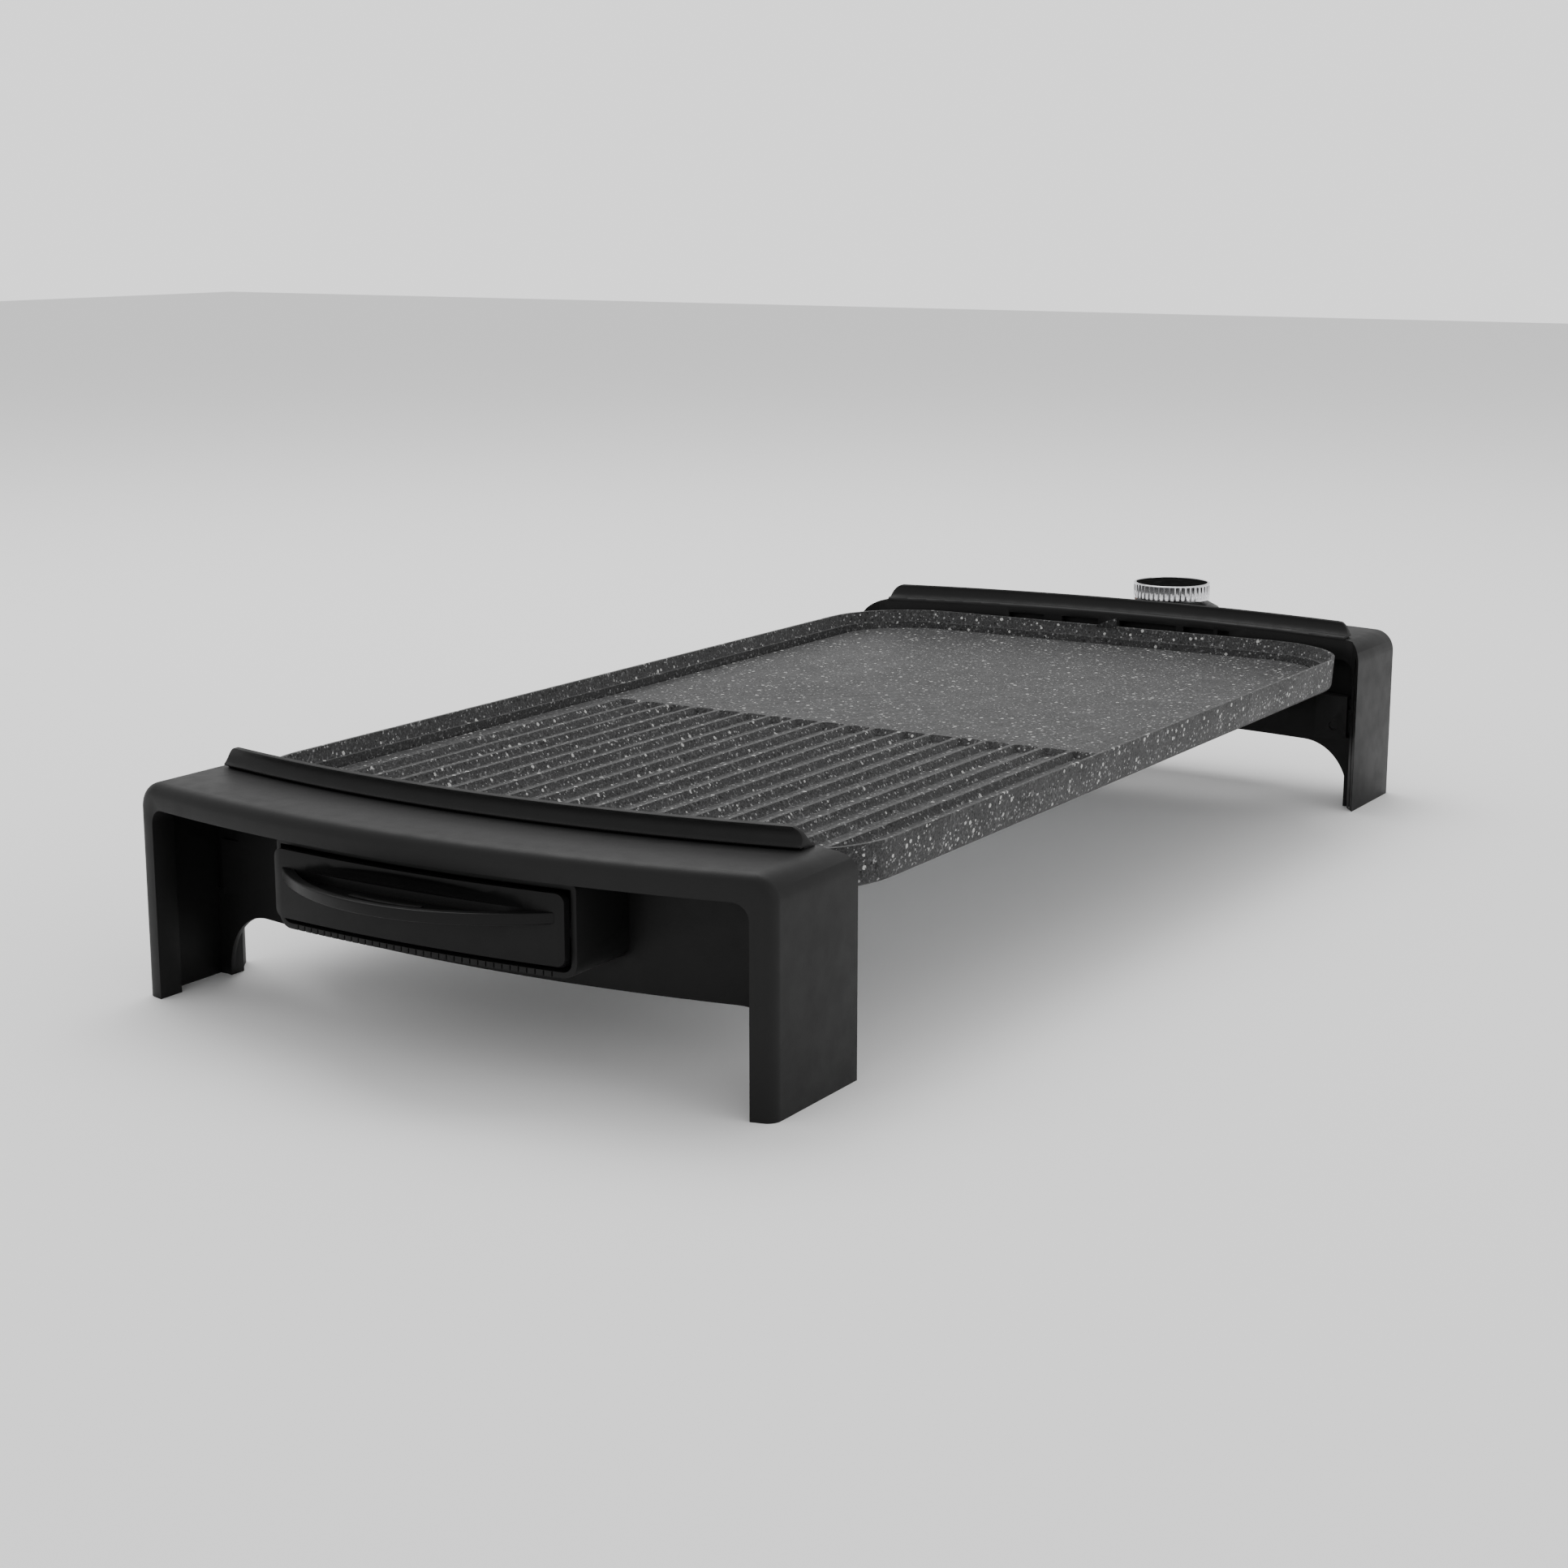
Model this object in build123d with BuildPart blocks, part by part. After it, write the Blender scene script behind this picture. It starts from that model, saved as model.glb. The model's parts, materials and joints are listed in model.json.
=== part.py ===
from build123d import *
import os
from math import asin, degrees

# Electric table griddle, millimetres. X to the right, +Y towards the thermostat end,
# Z up from the worktop. Origin: centre of the bounding box, at the worktop.

# ---- driving dimensions -------------------------------------------------
WIDTH = 300.0                # across the legs
LENGTH = 696.0               # drawer handle to the bulge behind the knob
BRIDGE_MID = 7.0             # Y of the plane that mirrors one bridge onto the other
FACE_D = 336.5               # outer face of a bridge at its middle, from BRIDGE_MID
BOW = 0.00085                # bow of the faces: y = apex - BOW * x * x
BOW_RADIUS = 1 / (2 * BOW)
LEG_D = 260.0                # plate-side edge of a leg, from BRIDGE_MID
EDGE_D = 287.0               # plate-side edge of a bridge's top at its middle
SWEEP_X = 143.0              # where that edge starts to sweep out to the leg
TOP_Z = 89.4                 # top of a bridge
BEAM_Z = 79.2                # underside of a bridge's outer face
SKIN = 2.5                   # moulded wall
CORNER_R = 10.8              # shoulder of a bridge, seen from its end
LEG_FLANGE = 9.0             # outer flange of a leg
RETURN_DEPTH = 12.0          # wall that runs back from the flange's inner edge
RETURN_T = 2.0
ARCH_CORNER_R = 6.5
RUN_ON = 0.2                 # share by which a footprint overshoots the shoulders that trim it

LIP_X = 138.0                # half length of a splash lip
LIP_TOP_Z = 98.1

WEB_D = 295.5                # outer face of a web at its middle
WEB_X = 147.2
FRONT_WEB_Z = 29.3
REAR_WEB_Z = 32.0
ARCH_X = 141.0
ARCH_R = 27.0

PLATE_Y = 5.0                # plate's middle
PLATE_W = 295.0
PLATE_L = 549.0
PLATE_R = 50.0
RIM_Z = 85.5
PLATE_FOOT_Z = 68.9
PLATE_FOOT_R = 3.0
UNDER_Z = 70.5               # underside of the cast deck
COOK_Z = 76.5
OUTER_DRAFT = 4.0
INNER_DRAFT = 15.0
GROOVES = 18
GROOVE_PITCH = 14.4
GROOVE_W = 12.2
GROOVE_DRAFT = 32.0
GROOVE_DEPTH = 3.1
GROOVE_END_Y = -4.0

ELEMENT_R = 3.3
ELEMENT_Z = 64.0
PAN_X = 112.0
PAN_Y0, PAN_Y1 = -232.0, 242.0
PAN_Z = 56.2
SHEET = 0.8

SHELF_Z = 53.0               # underside of a plate shelf
SHELF_T = 3.0
SHELF_X0, SHELF_X1 = 80.0, 106.0
BOSS_X = 92.0
BOSS_D = 254.0               # plate bosses, from BRIDGE_MID

BOX_X0, BOX_X1 = 123.5, 141.0  # screw box of a web
BOX_Z0, BOX_Z1 = 35.5, 59.0
BOX_D = 271.0
BOX_HOLE_X, BOX_HOLE_Z = 133.6, 43.0

HOUSING_X = 70.8             # drawer housing
HOUSING_Z0, HOUSING_Z1 = 42.0, 77.5
HOUSING_D = 328.5            # its front edge at the middle
HOUSING_BACK_D = 188.0
LOW_TOP_Z = 55.6             # top of the drawer run under the plate
EAR_X = HOUSING_X + 9        # screw ears
EAR_HOLE_X, EAR_Z = HOUSING_X + 4.5, 50.0
FASCIA_X = 68.5
FASCIA_Z0, FASCIA_Z1 = 47.3, 74.5
FASCIA_D = 332.5
FASCIA_T = 3.4
HANDLE_X = 64.5
HANDLE_Z0, HANDLE_Z1 = 63.0, 67.5
HANDLE_ROOT_D = 328.9
RIB_CENTRE = (0.0, -LENGTH / 2 + 89.4)   # low rib in the finger pocket
RIB_R, RIB_T, RIB_H = 79.5, 2.5, 2.6
RIB_HALF_TURN = 12.0
TRAY_X = 65.5
TRAY_Z0, TRAY_Z1 = 45.0, 54.6
TRAY_BACK_D = 196.0

CONTROL_X = 72.0             # control housing under the rear bridge
CONTROL_Z = 44.0
CONTROL_D0, CONTROL_D1 = 296.0, 331.0
KNOB_X, KNOB_Y = 18.9, 324.0
KNOB_R = 21.2
KNOB_Z0, KNOB_Z1 = 96.6, 106.0
BULGE_R = 24.0
SPINDLE_R = 3.0
LAMP_X = -32.0
CORD_X, CORD_Z = -48.0, 60.0
CORD_BORE_R = 3.7

CENTRED = (Align.CENTER, Align.CENTER, Align.MIN)
FRONT, REAR = -1, 1

os.makedirs("parts", exist_ok=True)


def save(part, name):
    part.label = name
    export_step(part, f"parts/{name}.step")


def out(side, d):
    """Y of a distance from the mirror plane, towards one end."""
    return BRIDGE_MID + side * d


def bow(side, apex, x):
    """Point of a bowed line, in plan."""
    return (x, out(side, apex - BOW * x * x))


def bowed_band(side, outer, inner, half_x):
    """Plan of the strip between two bowed lines."""
    with BuildSketch() as band:
        with BuildLine():
            ThreePointArc(bow(side, outer, -half_x), bow(side, outer, 0), bow(side, outer, half_x))
            Line(bow(side, outer, half_x), bow(side, inner, half_x))
            ThreePointArc(bow(side, inner, half_x), bow(side, inner, 0), bow(side, inner, -half_x))
            Line(bow(side, inner, -half_x), bow(side, outer, -half_x))
        make_face()
    return band.sketch


def bridge_plan(side, inset):
    """Footprint of a bridge, run on a little past the sides that the shoulders trim."""
    outer, edge = FACE_D - inset, EDGE_D + inset
    sweep_x = SWEEP_X - inset / 2
    sweep = Vector(*bow(side, edge, sweep_x))
    foot = Vector(WIDTH / 2 - inset, out(side, LEG_D + inset * 1.3))
    foot += (foot - sweep) * RUN_ON
    half = foot.X
    with BuildSketch() as plan:
        with BuildLine():
            ThreePointArc(bow(side, outer, -half), bow(side, outer, 0), bow(side, outer, half))
            Line(bow(side, outer, half), (half, foot.Y))
            Line((half, foot.Y), bow(side, edge, sweep_x))
            ThreePointArc(bow(side, edge, sweep_x), bow(side, edge, 0), bow(side, edge, -sweep_x))
            Line(bow(side, edge, -sweep_x), (-half, foot.Y))
            Line((-half, foot.Y), bow(side, outer, -half))
        make_face()
    return plan.sketch


def arched_prism(side, d0, d1, half_x, top, radius, floor=0.0):
    """Block with two rounded shoulders, between two distances from the mirror plane."""
    with BuildPart() as prism:
        with BuildSketch(Plane.XZ.offset(-out(side, d0))) as outline:
            with Locations((0, floor)):
                Rectangle(2 * half_x, top - floor, align=(Align.CENTER, Align.MIN))
            fillet(outline.vertices().group_by(Axis.Y)[-1], radius)
        extrude(amount=d1 - d0, dir=(0, side, 0))
    return prism.part


def bridge_block(side, inset, top, radius):
    """Solid of a bridge's outer shape, or of the hollow inside it."""
    shoulders = arched_prism(side, LEG_D - 10, FACE_D + 10, WIDTH / 2 - inset, top, radius)
    with BuildPart() as block:
        with BuildSketch():
            add(bridge_plan(side, inset))
        extrude(amount=TOP_Z + 10)
        add(shoulders, mode=Mode.INTERSECT)
    return block.part


def block_between(x0, x1, y0, y1, z0, z1):
    """Box from its corners, added to the part being built."""
    size = (abs(x1 - x0), abs(y1 - y0), z1 - z0)
    with Locations(((x0 + x1) / 2, (y0 + y1) / 2, (z0 + z1) / 2)):
        return Box(*size)


def cut_between(x0, x1, y0, y1, z0, z1):
    """Box from its corners, cut from the part being built."""
    size = (abs(x1 - x0), abs(y1 - y0), z1 - z0)
    with Locations(((x0 + x1) / 2, (y0 + y1) / 2, (z0 + z1) / 2)):
        return Box(*size, mode=Mode.SUBTRACT)


def rod(x, y, z0, z1, radius, mode=Mode.ADD):
    """Upright cylinder between two heights."""
    with Locations((x, y, z0)):
        return Cylinder(radius, z1 - z0, align=CENTRED, mode=mode)


def rod_y(x, z, y0, y1, radius, mode=Mode.ADD):
    """Cylinder along Y between two places."""
    with Locations(Location((x, (y0 + y1) / 2, z), (90, 0, 0))):
        return Cylinder(radius, abs(y1 - y0), mode=mode)


# ---- bridges ------------------------------------------------------------
BOSS_ARM_X = 128.0           # arm inside a web's screw box, on the leg's wall
BOSS_ARM_D0, BOSS_ARM_D1 = 273.4, 275.9
BOSS_ARM_Z0, BOSS_ARM_Z1 = 39.5, 52.0
VENTS = ((-66, -45), (-34, -12), (1, 35.5), (40, 58.5), (61, 68))
VENT_Z0, VENT_Z1 = 80.4, 86.4
POST_X, POST_Y = 63.0, 317.0   # screw posts of the control housing
THERMO_SCREW_X = 14.0


def bridge_shell(side):
    """Moulded shell of one end: top, two legs and a flange all round."""
    outer = bridge_block(side, 0, TOP_Z, CORNER_R)
    hollow = bridge_block(side, SKIN, TOP_Z - SKIN, CORNER_R - SKIN)
    face_way = arched_prism(
        side, EDGE_D + 8, FACE_D + 10, WIDTH / 2 - LEG_FLANGE, BEAM_Z, ARCH_CORNER_R, -1)
    with BuildPart() as return_wall:
        add(arched_prism(side, EDGE_D + 8, FACE_D + 10, WIDTH / 2 - LEG_FLANGE + RETURN_T,
                         BEAM_Z + RETURN_T, ARCH_CORNER_R + RETURN_T, 0))
        with BuildSketch():
            add(bowed_band(side, FACE_D - SKIN + 0.5, FACE_D - RETURN_DEPTH, WIDTH / 2))
        extrude(amount=TOP_Z, mode=Mode.INTERSECT)
    plate_way = arched_prism(side, LEG_D - 10, EDGE_D + 6, SWEEP_X + 1.2, 78.5, 8, -1)
    with BuildPart() as shell:
        add(outer)
        rim = shell.edges().filter_by(
            lambda e: abs(e.center().Y - out(side, FACE_D)) < 22 and e.bounding_box().min.Z > -1
            and side * (e.center().Y - out(side, FACE_D - 21)) > 0
            and not (abs(e.center().Z) < 0.01))
        fillet(rim, 5.5)
        add(hollow, mode=Mode.SUBTRACT)
        add(return_wall.part)
        add(face_way, mode=Mode.SUBTRACT)
        add(plate_way, mode=Mode.SUBTRACT)
        for hand in (-1, 1):
            block_between(hand * BOSS_ARM_X, hand * (WIDTH / 2 - 1), out(side, BOSS_ARM_D0),
                          out(side, BOSS_ARM_D1), BOSS_ARM_Z0, BOSS_ARM_Z1)
            rod_y(hand * BOX_HOLE_X, BOX_HOLE_Z, out(side, BOSS_ARM_D0 - 1),
                  out(side, BOSS_ARM_D1 + 1), 1.6, Mode.SUBTRACT)
    return shell.part


with BuildPart() as front_bridge:
    add(bridge_shell(FRONT))
save(front_bridge.part, "front_bridge")

with BuildPart() as rear_bridge:
    add(bridge_shell(REAR))
    # The wall behind the beam's edge stops beside the control housing.
    cut_between(-CONTROL_X - 1, CONTROL_X + 1, out(REAR, FACE_D - RETURN_DEPTH - 8),
                out(REAR, FACE_D - 5), BEAM_Z - 1, BEAM_Z + RETURN_T + 1)
    # Round bulge that carries the knob past the rear face.
    rod(KNOB_X, KNOB_Y, BEAM_Z, TOP_Z, BULGE_R)
    rod(KNOB_X, KNOB_Y, BEAM_Z - 1, TOP_Z - SKIN, BULGE_R - SKIN, Mode.SUBTRACT)
    cut_between(KNOB_X - 30, KNOB_X + 30, out(REAR, EDGE_D + 3), out(REAR, FACE_D - 5),
                BEAM_Z - 1, TOP_Z - SKIN)
    rod(KNOB_X, KNOB_Y, TOP_Z - 5, TOP_Z + 1, 5.2, Mode.SUBTRACT)
    rod(LAMP_X, KNOB_Y, TOP_Z - 5, TOP_Z + 1, 3.6, Mode.SUBTRACT)
    for hand in (-1, 1):
        rod(hand * POST_X, POST_Y, CONTROL_Z + 2.4, TOP_Z - SKIN, 4)
        rod(hand * POST_X, POST_Y, CONTROL_Z + 2, TOP_Z - SKIN - 2, 1.6, Mode.SUBTRACT)
        rod(KNOB_X + hand * THERMO_SCREW_X, KNOB_Y, TOP_Z - 5, TOP_Z + 1, 1.6, Mode.SUBTRACT)
    for x0, x1 in VENTS:
        cut_between(x0, x1, out(REAR, EDGE_D - 8), out(REAR, EDGE_D + 4), VENT_Z0, VENT_Z1)
save(rear_bridge.part, "rear_bridge")


# ---- splash lips --------------------------------------------------------
LIP_FOOT_D = 297.0           # outer crease of a lip at its middle
LIP_R = 7.0


def splash_lip(side):
    """Upstand with two hollow faces and a bead along the plate-side edge."""
    axis_y = out(side, LIP_FOOT_D - BOW_RADIUS)
    sweep = 2 * degrees(asin((LIP_X + 2) / (BOW_RADIUS - 10)))
    window = arched_prism(side, EDGE_D - 40, FACE_D, LIP_X, LIP_TOP_Z, LIP_R, TOP_Z - 5)
    with BuildPart() as lip:
        with BuildSketch(Plane.YZ):
            with BuildLine():
                foot = (out(side, LIP_FOOT_D - 2.6), TOP_Z)
                shadow = (out(side, LIP_FOOT_D - 2.6), TOP_Z + 1.0)
                toe = (out(side, LIP_FOOT_D - 0.2), TOP_Z + 0.8)
                roll = (out(side, LIP_FOOT_D - 0.4), TOP_Z + 1.7)
                shoulder = (out(side, 294.9), LIP_TOP_Z - 0.5)
                crest = (out(side, 293.3), LIP_TOP_Z)
                inner = (out(side, 292.7), LIP_TOP_Z - 0.6)
                fold = (out(side, 290.0), 91.3)
                bead = (out(side, 289.0), 91.2)
                edge = (out(side, EDGE_D + 0.05), TOP_Z)
                Polyline(foot, shadow, toe)
                ThreePointArc(toe, (out(side, LIP_FOOT_D), TOP_Z + 1.3), roll)
                ThreePointArc(roll, (out(side, 294.9), 93.6), shoulder)
                Line(shoulder, crest)
                Line(crest, inner)
                ThreePointArc(inner, (out(side, 291.9), 94.0), fold)
                Line(fold, bead)
                ThreePointArc(bead, (out(side, 287.6), 90.6), edge)
                Line(edge, foot)
            make_face()
        turn = Axis((0, axis_y, 0), (0, 0, 1))
        revolve(axis=turn, revolution_arc=sweep / 2)
        mirror(about=Plane.YZ)
        add(window, mode=Mode.INTERSECT)
    return lip.part


for side, name in ((FRONT, "front_splash_lip"), (REAR, "rear_splash_lip")):
    save(splash_lip(side), name)

# ---- webs ---------------------------------------------------------------
STRIP_TOP_Z = 37.0
STRIP_END_D, BOX_END_D = 278.0, 281.0   # where strip and box run into the panel
BOX_WALL = 2.0
BOX_CUT_D = 276.2
ELEMENT_ENDS = (-35.0, 35.0)
CAPILLARY_Z = 62.0           # where the tube passes the rear web
CAPILLARY_HIGH_Z = 68.9      # its run over the pan
CAPILLARY_RISE_Y, CAPILLARY_END_Z = 318.0, 74.0


def web_plate(side, bottom_z):
    """Bowed panel between the legs, arched over the worktop, with its strips and boxes."""
    panel_top = TOP_Z - SKIN
    shoulders = arched_prism(side, LEG_D, FACE_D, WEB_X, panel_top, CORNER_R - SKIN + 0.3)
    arch = arched_prism(side, LEG_D, FACE_D, ARCH_X, bottom_z, ARCH_R, -1)
    with BuildPart() as web:
        with BuildSketch():
            add(bowed_band(side, WEB_D, WEB_D - SKIN, WEB_X))
        extrude(amount=panel_top)
        add(shoulders, mode=Mode.INTERSECT)
        for hand in (-1, 1):
            block_between(hand * ARCH_X, hand * WEB_X, out(side, BOX_D), out(side, STRIP_END_D),
                          0, STRIP_TOP_Z)
        for hand in (-1, 1):
            block_between(hand * BOX_X0, hand * BOX_X1, out(side, BOX_D), out(side, BOX_END_D),
                          BOX_Z0, BOX_Z1)
        for hand in (-1, 1):
            cut_between(hand * (BOX_X0 + BOX_WALL), hand * (WIDTH / 2), out(side, BOX_D + BOX_WALL),
                        out(side, BOX_CUT_D), BOX_Z0 + BOX_WALL, BOX_Z1 - BOX_WALL)
            rod_y(hand * BOX_HOLE_X, BOX_HOLE_Z, out(side, BOX_D - 1), out(side, BOX_D + 3), 2.4,
                  Mode.SUBTRACT)
        add(arch, mode=Mode.SUBTRACT)
        # Shelves that carry the plate, each on a rib.
        for hand in (-1, 1):
            with BuildSketch(Plane.XY.offset(SHELF_Z)):
                add(bowed_band(side, WEB_D - 0.6, BOSS_D - 10, SHELF_X1))
                with Locations((-hand * (SHELF_X1 - SHELF_X0), out(side, 280))):
                    Rectangle(2 * SHELF_X1, 100, mode=Mode.SUBTRACT)
            extrude(amount=SHELF_T)
            with BuildSketch(Plane.XY.offset(SHELF_Z - 8)):
                add(bowed_band(side, WEB_D - 0.6, BOSS_D + 14, BOSS_X + 1.2))
                with Locations((-hand * 2.4, out(side, 280))):
                    Rectangle(2 * BOSS_X + 2.4, 100, mode=Mode.SUBTRACT)
            extrude(amount=8)
            rod(hand * BOSS_X, out(side, BOSS_D), SHELF_Z - 9, SHELF_Z + SHELF_T + 1, 2.7, Mode.SUBTRACT)
    return web.part


def housing_outline(inset):
    """Front view of the drawer housing, drawn in by its wall: round below, tight above."""
    with BuildSketch() as outline:
        with Locations((0, HOUSING_Z0 + inset)):
            Rectangle(2 * (HOUSING_X - inset), HOUSING_Z1 - HOUSING_Z0 - 2 * inset,
                      align=(Align.CENTER, Align.MIN))
        fillet(outline.vertices().group_by(Axis.Y)[0], 6.0 - inset)
        fillet(outline.vertices().group_by(Axis.Y)[-1], 2.5 - min(inset, 2.0))
    return outline.sketch


ear_y = bow(FRONT, WEB_D - SKIN, EAR_X)[1] + 0.05
EAR_SCREW_DEPTH = 1.3
with BuildPart() as front_web:
    add(web_plate(FRONT, FRONT_WEB_Z))
    # Way for the drawer and its housing.
    with BuildSketch(Plane.XZ.offset(-out(FRONT, WEB_D + 5))):
        add(housing_outline(0))
    extrude(amount=25, dir=(0, 1, 0), mode=Mode.SUBTRACT)
    for hand in (-1, 1):
        rod_y(hand * EAR_HOLE_X, EAR_Z, ear_y - EAR_SCREW_DEPTH - 0.2, ear_y + 4, 1.6, Mode.SUBTRACT)
save(front_web.part, "front_web")

with BuildPart() as rear_web:
    add(web_plate(REAR, REAR_WEB_Z))
    for x in ELEMENT_ENDS:
        rod_y(x, ELEMENT_Z, out(REAR, WEB_D - 10), out(REAR, WEB_D + 5), 4.6, Mode.SUBTRACT)
    rod_y(0, CAPILLARY_Z, out(REAR, WEB_D - 10), out(REAR, WEB_D + 5), 1.6, Mode.SUBTRACT)
save(rear_web.part, "rear_web")

with BuildPart() as web_screws:
    for side in (FRONT, REAR):
        for hand in (-1, 1):
            x = hand * BOX_HOLE_X
            rod_y(x, BOX_HOLE_Z, out(side, BOX_D + 0.6), out(side, BOSS_ARM_D0), 2.2)
            rod_y(x, BOX_HOLE_Z, out(side, BOSS_ARM_D0), out(side, BOSS_ARM_D1 - 0.2), 1.5)
save(web_screws.part, "web_screws")

# ---- cooking plate ------------------------------------------------------
RIM_T = 1.6                  # rim's flat, before the inner wall
LEDGE_Z = 79.5
LEDGE_INSET = 5.2
CHANNEL_W = 4.0
CHANNEL_Z = 74.6
HOLLOW_INSET = 6.5           # hollow underneath, from the rim
PAD_Z = 67.4                 # lowest face of the element pads
PAD_X = (-105.0, -35.0, 35.0, 105.0)
CLAMP_OFFSET = 9.5           # clamp screw beside the tube
CLAMP_Y = (-150.0, -40.0, 70.0)
CLAMP_BOSS_Z = 61.9
PAN_BOSSES = ((-70, -150), (70, -150), (-70, 20), (70, 20), (-70, 190), (70, 190))
PAN_BOSS_Z = 57.1
PLATE_BOSS_Z = 59.2
SPOUT_D = 268.0
SPOUT_L, SPOUT_W = 34.0, 8.0
SPOUT_Z = 58.0
BULB_X, BULB_Z = 0.0, 67.9
BULB_R = 2.4
THERMO_X, THERMO_Y = 15.0, 12.0
LUG_X0, LUG_X1, LUG_Z = -5.3, 6.4, 90.4


def clamp_spots():
    """Screw places of the element clamps, each beside a straight run of the tube."""
    return [(x - CLAMP_OFFSET if abs(x) > 50 and x > 0 or 0 > x > -50 else x + CLAMP_OFFSET, y)
            for x in PAD_X for y in CLAMP_Y]


def rounded(inset, z):
    """Rounded outline of the plate, drawn in from the rim."""
    with BuildSketch(Plane.XY.offset(z)) as outline:
        with Locations((0, PLATE_Y)):
            RectangleRounded(PLATE_W - 2 * inset, PLATE_L - 2 * inset, PLATE_R - inset)
    return outline.sketch


cook_inset = LEDGE_INSET + CHANNEL_W
groove_front_y = PLATE_Y - PLATE_L / 2 + cook_inset - 3
groove_length = GROOVE_END_Y - groove_front_y
with BuildPart() as cooking_plate:
    extrude(rounded(0, RIM_Z), amount=-(RIM_Z - PLATE_FOOT_Z), taper=OUTER_DRAFT)
    fillet(cooking_plate.faces().sort_by(Axis.Z)[0].edges(), PLATE_FOOT_R)
    extrude(rounded(RIM_T, RIM_Z), amount=-(RIM_Z - LEDGE_Z), taper=INNER_DRAFT, mode=Mode.SUBTRACT)
    extrude(rounded(LEDGE_INSET, LEDGE_Z), amount=-(LEDGE_Z - COOK_Z), mode=Mode.SUBTRACT)
    with BuildSketch(Plane.XY.offset(COOK_Z)):
        add(rounded(LEDGE_INSET, 0))
        add(rounded(cook_inset, 0), mode=Mode.SUBTRACT)
    extrude(amount=CHANNEL_Z - COOK_Z, mode=Mode.SUBTRACT)
    with BuildSketch(Plane.XY.offset(COOK_Z)):
        for i in range(GROOVES):
            with Locations(((i - (GROOVES - 1) / 2) * GROOVE_PITCH, (groove_front_y + GROOVE_END_Y) / 2)):
                RectangleRounded(GROOVE_W, groove_length, 2.5)
        add(rounded(cook_inset - 0.01, 0), mode=Mode.INTERSECT)
    extrude(amount=-GROOVE_DEPTH, taper=GROOVE_DRAFT, mode=Mode.SUBTRACT)
    # Hollow underneath, inside the skirt.
    extrude(rounded(HOLLOW_INSET, PLATE_FOOT_Z), amount=UNDER_Z - PLATE_FOOT_Z, mode=Mode.SUBTRACT)
    for x in PAD_X:
        block_between(x - 5, x + 5, -175, 172 if abs(x) > 50 else 130, PAD_Z, UNDER_Z)
    for x, y in clamp_spots():
        rod(x, y, CLAMP_BOSS_Z, UNDER_Z, 4)
        rod(x, y, CLAMP_BOSS_Z - 1, UNDER_Z - 1, 1.6, Mode.SUBTRACT)
    for x, y in PAN_BOSSES:
        rod(x, y, PAN_BOSS_Z, UNDER_Z, 5)
        rod(x, y, PAN_BOSS_Z - 1, UNDER_Z - 1, 2.0, Mode.SUBTRACT)
    for side in (FRONT, REAR):
        for hand in (-1, 1):
            rod(hand * BOSS_X, out(side, BOSS_D), PLATE_BOSS_Z, UNDER_Z, 7)
            rod(hand * BOSS_X, out(side, BOSS_D), PLATE_BOSS_Z - 1, UNDER_Z - 1, 2.2, Mode.SUBTRACT)
    # Drain spout in the front channel, over the drawer.
    spout_y = out(FRONT, SPOUT_D)
    with BuildSketch(Plane.XY.offset(UNDER_Z)):
        with Locations((0, spout_y)):
            SlotOverall(SPOUT_L, SPOUT_W)
    extrude(amount=SPOUT_Z - UNDER_Z)
    with BuildSketch(Plane.XY.offset(SPOUT_Z - 1)):
        with Locations((0, spout_y)):
            SlotOverall(SPOUT_L - 4, SPOUT_W - 4)
    extrude(amount=COOK_Z + 1 - SPOUT_Z, mode=Mode.SUBTRACT)
    # Cast lug on the rear rim.
    lug_y = PLATE_Y + PLATE_L / 2 - 1.5
    with BuildSketch(Plane.XZ.offset(-lug_y)):
        with BuildLine():
            Polyline((LUG_X0, RIM_Z - 0.6), (LUG_X1, RIM_Z - 0.6), (LUG_X1, LUG_Z), (LUG_X0, RIM_Z),
                     close=True)
        make_face()
    extrude(amount=0.75, both=True)
save(cooking_plate.part, "cooking_plate")


# ---- plate supports and fasteners ---------------------------------------
with BuildPart() as plate_spacers:
    for side in (FRONT, REAR):
        for hand in (-1, 1):
            rod(hand * BOSS_X, out(side, BOSS_D), SHELF_Z + SHELF_T, PLATE_BOSS_Z, 7)
            rod(hand * BOSS_X, out(side, BOSS_D), SHELF_Z, PLATE_BOSS_Z + 1, 2.7, Mode.SUBTRACT)
save(plate_spacers.part, "plate_spacers")

with BuildPart() as plate_screws:
    for side in (FRONT, REAR):
        for hand in (-1, 1):
            rod(hand * BOSS_X, out(side, BOSS_D), SHELF_Z - 2.4, SHELF_Z, 4.2)
            rod(hand * BOSS_X, out(side, BOSS_D), SHELF_Z, UNDER_Z - 1.5, 2.1)
save(plate_screws.part, "plate_screws")

# ---- heating element and pan --------------------------------------------
ELEMENT_BEND = 29.0
ELEMENT_FRONT_Y, ELEMENT_BACK_Y = -205.0, 205.0
ELEMENT_INNER_Y = 165.0
ELEMENT_END_Y = 312.0
PIN_R, PIN_END_Y = 1.4, 322.0
CLAMP_T = 1.0

left_half = [(-35, ELEMENT_END_Y), (-35, ELEMENT_BACK_Y), (-105, ELEMENT_BACK_Y),
             (-105, ELEMENT_FRONT_Y), (-35, ELEMENT_FRONT_Y), (-35, ELEMENT_INNER_Y)]
element_route = left_half + [(-x, y) for x, y in reversed(left_half)]
with BuildPart() as heating_element:
    with BuildLine(Plane.XY.offset(ELEMENT_Z)):
        FilletPolyline(*element_route, radius=ELEMENT_BEND)
    with BuildSketch(Plane(origin=(-35, ELEMENT_END_Y, ELEMENT_Z), z_dir=(0, -1, 0))):
        Circle(ELEMENT_R)
    sweep()
save(heating_element.part, "heating_element")

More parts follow.
